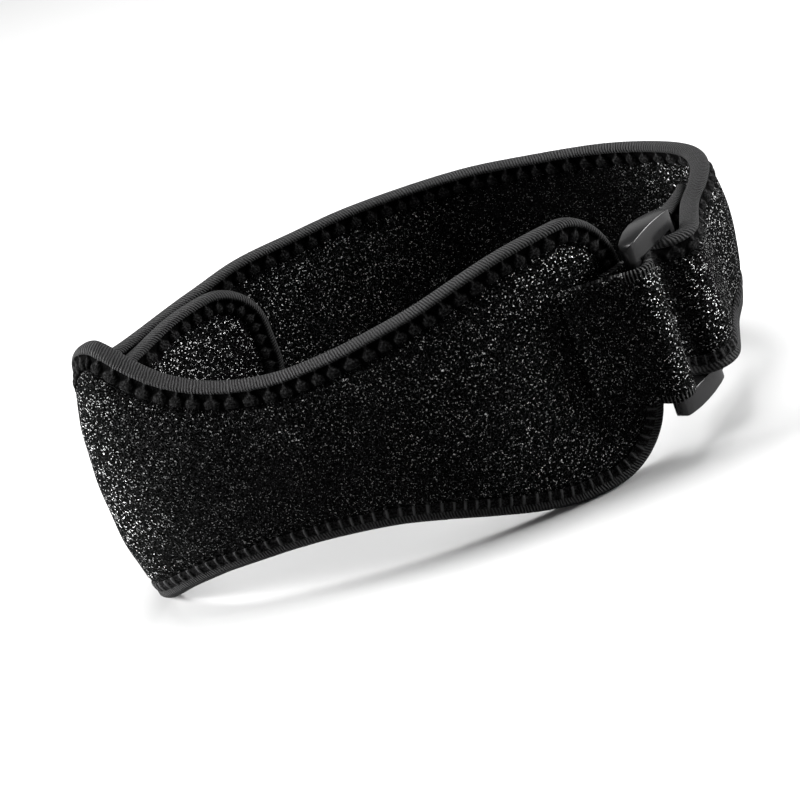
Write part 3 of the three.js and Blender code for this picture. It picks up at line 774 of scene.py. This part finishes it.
# The tape: painted shade between its ribs, its colour on them and on its grain, its drawn leg in fuzz
# darkened with painted shade, and its lighter threads with painted highlights
RIB_VALLEY_SHADE = (0.0002, 0.0002, 0.0002)
RIB_TOP = (0.019, 0.019, 0.0193)
TAPE_GRAIN = (0.034, 0.034, 0.0345)
LEG_DEEP_IN_SHADE = (0.0008, 0.0008, 0.0008)
LEG_FUZZ_IN_SHADE = (0.015, 0.015, 0.0152)
TAPE_THREAD_AND_HIGHLIGHT = (0.03, 0.03, 0.0305)
# Near-black painted shade for the pits, notches and grooves that the stitches draw in
PIT_PAINTED_SHADE = (0.0004, 0.0004, 0.0004)

# The plastic's two shades
PLASTIC_DARK = (0.0035, 0.0035, 0.0036)
PLASTIC_LIGHT = (0.006, 0.006, 0.0062)

# Loops of the cloth to a mm, and the tape's rib pitch in mm and its slant
GLINT_LOOPS = 2.1
FINE_LOOPS = 2.9
TAPE_RIB_PITCH = 0.75
TAPE_RIB_SLANT = 0.3


def new_material(name):
    material = bpy.data.materials.new(name)
    material.use_nodes = True
    return material, material.node_tree, material.node_tree.nodes["Principled BSDF"]


def set_inputs(tree, node, inputs):
    """Gives inputs of a node their values or links."""
    for key, value in inputs.items():
        if isinstance(value, bpy.types.NodeSocket):
            tree.links.new(value, node.inputs[key])
        else:
            node.inputs[key].default_value = value


def add_node(tree, kind, inputs=None, **settings):
    """A node with its settings, and values or links for its inputs."""
    node = tree.nodes.new(kind)
    for key, value in settings.items():
        setattr(node, key, value)
    set_inputs(tree, node, inputs or {})
    return node


def ramp(tree, value, start, end, low=0.0, high=1.0):
    return add_node(tree, "ShaderNodeMapRange", {
        0: value, 1: start, 2: end, 3: low, 4: high}, interpolation_type="SMOOTHSTEP").outputs[0]


def calc(tree, operation, *values):
    return add_node(tree, "ShaderNodeMath", dict(enumerate(values)), operation=operation).outputs[0]


def vector(tree, operation, *values):
    return add_node(tree, "ShaderNodeVectorMath", dict(enumerate(values)), operation=operation).outputs[0]


def noise(tree, place, scale, detail, roughness=0.5, space="2D"):
    """The outputs of a noise texture: its value first, and its colour."""
    return add_node(tree, "ShaderNodeTexNoise", {
        "Vector": place, "Scale": scale, "Detail": detail, "Roughness": roughness},
        noise_dimensions=space).outputs


def cells(tree, place, scale):
    """The outputs of a cell texture: the distance to each cell's middle, and its own colour."""
    return add_node(tree, "ShaderNodeTexVoronoi", {"Vector": place, "Scale": scale, "Randomness": 1.0},
                    voronoi_dimensions="2D").outputs


def mixed(tree, share, a, b):
    """A colour between two, each one a socket or its red, green and blue."""
    node = add_node(tree, "ShaderNodeMix", {0: share}, data_type="RGBA")
    for socket, value in ((node.inputs[6], a), (node.inputs[7], b)):
        if isinstance(value, bpy.types.NodeSocket):
            tree.links.new(value, socket)
        else:
            socket.default_value = (*value, 1)
    return node.outputs[2]


def raised(tree, height, strength, distance):
    """The normal of a surface with a fine relief."""
    return add_node(tree, "ShaderNodeBump", {
        "Height": height, "Strength": strength, "Distance": distance}).outputs[0]


def cloth_flat(tree):
    """The cloth's own flat coordinates in mm."""
    return add_node(tree, "ShaderNodeUVMap", uv_map="cloth").outputs[0]


def marked(tree, label):
    """A mark of a piece's mesh, for its stitches' painted shade and for its threads and painted
    highlights.
    """
    return add_node(tree, "ShaderNodeAttribute", attribute_name=label).outputs["Fac"]


def with_painted_stitch_light(tree, color, start, share, thread_and_highlight):
    """The colour with painted shade where a stitch draws the cloth in, lighter on threads, and with a
    painted highlight on the crests of pleats and ribs.
    """
    dark = ramp(tree, marked(tree, "painted_stitch_shade"), start, 0.85, 0.0, share)
    lit = mixed(tree, ramp(tree, marked(tree, "threads_and_highlights"), 0.2, 0.9), color, thread_and_highlight)
    return mixed(tree, dark, lit, PIT_PAINTED_SHADE)


def speckled_cloth(name):
    """Near-black loop cloth with fine specks where single loops catch the light."""
    material, tree, shader = new_material(name)
    flat = cloth_flat(tree)
    astray = vector(tree, "MULTIPLY", noise(tree, flat, 1.3, 1.0)["Color"], (0.9, 0.9, 0))
    loose = vector(tree, "ADD", flat, astray)
    patch = noise(tree, flat, 0.12, 4.0)[0]
    fuzz = noise(tree, flat, 2.0, 3.0, 0.75)[0]
    loops, fine = cells(tree, loose, GLINT_LOOPS), cells(tree, loose, FINE_LOOPS)
    keep = add_node(tree, "ShaderNodeSeparateColor", {0: loops["Color"]}).outputs[0]
    keep_fine = add_node(tree, "ShaderNodeSeparateColor", {0: fine["Color"]}).outputs[1]
    lively = ramp(tree, patch, 0.3, 0.62, 0.5, 1.0)
    bright = calc(tree, "MULTIPLY", ramp(tree, loops["Distance"], 0.32, 0.17), ramp(tree, keep, 0.64, 1.0))
    bright = calc(tree, "MULTIPLY", bright, lively)
    bright_fine = calc(tree, "MULTIPLY", ramp(tree, fine["Distance"], 0.5, 0.2),
                       ramp(tree, keep_fine, 0.45, 1.0))
    grey = mixed(tree, ramp(tree, fuzz, 0.46, 0.76), CLOTH_DEEP, CLOTH_FUZZ)
    grey = mixed(tree, bright_fine, grey, CLOTH_FINE)
    color = mixed(tree, bright, grey, CLOTH_GLINT)
    height = calc(tree, "ADD", calc(tree, "MULTIPLY", bright_fine, 0.5), fuzz)

    # Each glinting loop leans its own way and a little upwards
    lean = vector(tree, "ADD", loops["Color"], (-0.5, -0.5, 0.6))
    tilt = vector(tree, "MULTIPLY", lean, (0.8, 0.8, 0.4))
    smooth = add_node(tree, "ShaderNodeNewGeometry").outputs["Normal"]
    glinting = ramp(tree, bright, 0.0, 0.2)
    facing = add_node(tree, "ShaderNodeMix", {
        0: glinting, 4: raised(tree, height, 1.0, 0.0004), 5: vector(tree, "ADD", smooth, tilt)},
        data_type="VECTOR").outputs[1]
    set_inputs(tree, shader, {
        "Base Color": with_painted_stitch_light(tree, color, 0.15, 0.9, CLOTH_CREST_HIGHLIGHT),
        "Metallic": glinting,
        "Roughness": ramp(tree, bright, 0.0, 0.25, 0.9, 0.58),
        "Normal": vector(tree, "NORMALIZE", facing),
        "Sheen Weight": 0.004,
        "Sheen Roughness": 0.3,
        "Specular IOR Level": 0.0,
    })
    return material


def ribbed_tape(name):
    """Dark grey satin elastic with fine slanting ribs and painted shade between them, duller, fuzzy and
    darkened with painted shade on its drawn leg.
    """
    material, tree, shader = new_material(name)
    flat = cloth_flat(tree)
    split = add_node(tree, "ShaderNodeSeparateXYZ", {0: flat}).outputs
    slant = calc(tree, "ADD", split[0], calc(tree, "MULTIPLY", split[1], TAPE_RIB_SLANT))
    slant = calc(tree, "ADD", slant, calc(tree, "MULTIPLY", noise(tree, flat, 0.5, 2.0)[0], 0.6))
    ribs = calc(tree, "SINE", calc(tree, "MULTIPLY", slant, 2 * math.pi / TAPE_RIB_PITCH))
    grain = noise(tree, flat, 3.4, 2.0, 0.7)[0]
    patch = noise(tree, flat, 0.09, 3.0)[0]
    fuzz = noise(tree, flat, 1.7, 3.0, 0.75)[0]
    leg = marked(tree, "painted_stitch_shade")
    ribbed = calc(tree, "MULTIPLY", ribs, ramp(tree, leg, 0.05, 0.25, 1.0, 0.2))
    ribbed = calc(tree, "MULTIPLY", ribbed, ramp(tree, patch, 0.4, 0.6, 0.45, 1.0))
    height = calc(tree, "ADD", calc(tree, "MULTIPLY", ribbed, 0.5), grain)
    # Painted shade in the valleys between the ribs
    shade = mixed(tree, ramp(tree, ribbed, -0.6, 0.7), RIB_VALLEY_SHADE, RIB_TOP)
    shade = mixed(tree, ramp(tree, grain, 0.5, 0.78, 0.0, 0.4), shade, TAPE_GRAIN)
    # The leg's fuzz, darkened with painted shade
    leg_fuzz_in_shade = mixed(tree, ramp(tree, fuzz, 0.4, 0.72), LEG_DEEP_IN_SHADE, LEG_FUZZ_IN_SHADE)
    shade = mixed(tree, ramp(tree, leg, 0.05, 0.3), shade, leg_fuzz_in_shade)
    set_inputs(tree, shader, {
        "Base Color": with_painted_stitch_light(tree, shade, 0.36, 0.97, TAPE_THREAD_AND_HIGHLIGHT),
        "Roughness": ramp(tree, grain, 0.3, 0.7, 0.5, 0.7),
        "Normal": raised(tree, height, 1.0, 0.0003),
        "Sheen Weight": ramp(tree, leg, 0.05, 0.3, 0.005, 0.001),
        "Sheen Roughness": 0.4,
        "Specular IOR Level": ramp(tree, leg, 0.05, 0.3, 0.035, 0.005),
    })
    return material


def moulded_plastic(name):
    """Semi-gloss black plastic with a fine moulded grain."""
    material, tree, shader = new_material(name)
    place = add_node(tree, "ShaderNodeTexCoord").outputs["Object"]
    grain = noise(tree, place, 900.0, 3.0, space="3D")[0]
    cloud = noise(tree, place, 90.0, 2.0, space="3D")[0]
    set_inputs(tree, shader, {
        "Base Color": mixed(tree, cloud, PLASTIC_DARK, PLASTIC_LIGHT),
        "Roughness": ramp(tree, cloud, 0.3, 0.7, 0.2, 0.27),
        "Normal": raised(tree, grain, 0.12, 0.0001),
        "Specular IOR Level": 0.13,
    })
    return material


# Assembly

cloth = speckled_cloth("speckled cloth")
tape = ribbed_tape("ribbed tape")
plastic = moulded_plastic("buckle plastic")

pieces = (
    (padded_wall("front_panel_cloth", panel, 3, wavy_off_tab), "front_panel", "pad_cloth", cloth),
    (edge_tape("front_panel_tape", panel), "front_panel_binding", "edge_tape", tape),
    (padded_wall("back_band_cloth", band, 11, wavy_everywhere), "back_band", "pad_cloth", cloth),
    (edge_tape("back_band_tape", band), "back_band_binding", "edge_tape", tape),
    (buckle_tab("tab_cloth"), "buckle_tab", "tab_cloth", cloth),
    (slide_buckle("slide_buckle"), "buckle", "buckle_plastic", plastic),
)
for piece, node, slot, material in pieces:
    piece.data.materials.clear()
    piece.data.materials.append(material)
    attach(piece, "root")
    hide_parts(node)


# Floor and light, in metres and watts

FLOOR_SIZE = 8
FLOOR_COLOR = (0.24, 0.24, 0.24, 1)
LIGHT_SPREAD = 140
ROOM_LIGHT = 0.05


def add_floor():
    bpy.ops.object.select_all(action="DESELECT")
    bpy.ops.mesh.primitive_plane_add(size=FLOOR_SIZE)
    floor = bpy.context.object
    floor.name = "floor"
    material, _, shader = new_material("pale floor")
    shader.inputs["Base Color"].default_value = FLOOR_COLOR
    shader.inputs["Roughness"].default_value = 0.8
    floor.data.materials.append(material)


def add_light(name, place, aim, size, power):
    """A rectangular light at a place, turned to shine at its aim."""
    data = bpy.data.lights.new(name, "AREA")
    data.shape = "RECTANGLE"
    data.spread = math.radians(LIGHT_SPREAD)
    data.size, data.size_y = size
    data.energy = power
    light = bpy.data.objects.new(name, data)
    bpy.context.scene.collection.objects.link(light)
    light.location = place
    light.rotation_euler = (Vector(aim) - Vector(place)).to_track_quat("-Z", "Y").to_euler()


add_floor()
add_light("left light", (-1.0, 0.2, 0.36), (-0.05, 0, 0.03), (0.5, 0.4), 50)
add_light("right light", (1.0, 0.02, 0.3), (0.06, 0, 0.03), (0.5, 0.4), 24)
add_light("top light", (0.05, 0.1, 0.9), (0, 0.03, 0.07), (0.6, 0.4), 13)
add_light("back light", (0.0, 1.4, 0.6), (0, 0, 0.03), (1.6, 0.5), 1.6)
add_light("buckle light", (0.9, 0.3, 0.75), (0.06, -0.03, 0.06), (0.5, 0.05), 4.5)
world = bpy.data.worlds.new("studio")
bpy.context.scene.world = world
world.use_nodes = True
background = world.node_tree.nodes["Background"]
background.inputs["Color"].default_value = (1, 1, 1, 1)
background.inputs["Strength"].default_value = ROOM_LIGHT
bpy.context.scene.view_settings.view_transform = "Standard"
